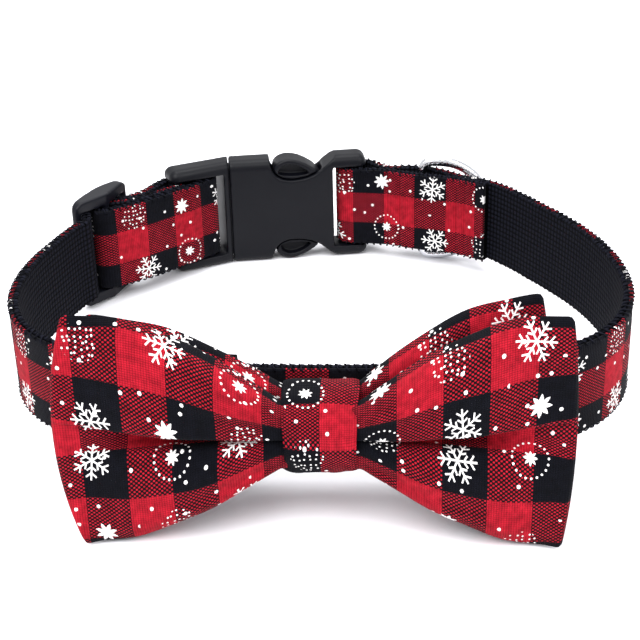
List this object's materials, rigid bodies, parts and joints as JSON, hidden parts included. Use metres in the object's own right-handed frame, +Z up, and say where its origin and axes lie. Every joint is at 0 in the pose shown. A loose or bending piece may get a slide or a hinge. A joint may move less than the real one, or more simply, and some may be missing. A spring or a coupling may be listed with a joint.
{
  "type": "pet bow tie collar",
  "caption": "Fastened adjustable pet collar in checked cotton over webbing, with a side-release buckle, slider, swivelling D-ring and a double bow tie.",
  "frame": {"origin": "centre of the bounding box, on the surface that the collar stands on", "axes": "+X to the right as seen from the front, +Y from the bow to the buckle, +Z up across the strap's width"},
  "size_m": [0.1582, 0.1642, 0.058],
  "materials": {
    "webbing": "black ribbed nylon webbing",
    "checked_cotton": "red and black woven check, white printed snow",
    "buckle_plastic": "black moulded acetal, satin",
    "nickel_wire": "nickel-plated steel wire",
    "elastic": "black knitted elastic"
  },
  "bodies": {
    "collar": {"strap_webbing": "webbing", "strap_cover": "checked_cotton", "buckle_socket": "buckle_plastic", "buckle_plug": "buckle_plastic", "slider": "buckle_plastic", "elastic_right": "elastic", "elastic_left": "elastic", "bow_front": "checked_cotton", "bow_back": "checked_cotton", "bow_knot": "checked_cotton"},
    "d_ring": {"d_ring": "nickel_wire"}
  },
  "joints": [
    {"name": "ring_swivel", "type": "hinge", "parent": "collar", "child": "d_ring", "pos_m": [0.03174, 0.06994, 0.01653], "axis": [0, 0.0262, 0.9997], "range_deg": [0, 135]}
  ]
}
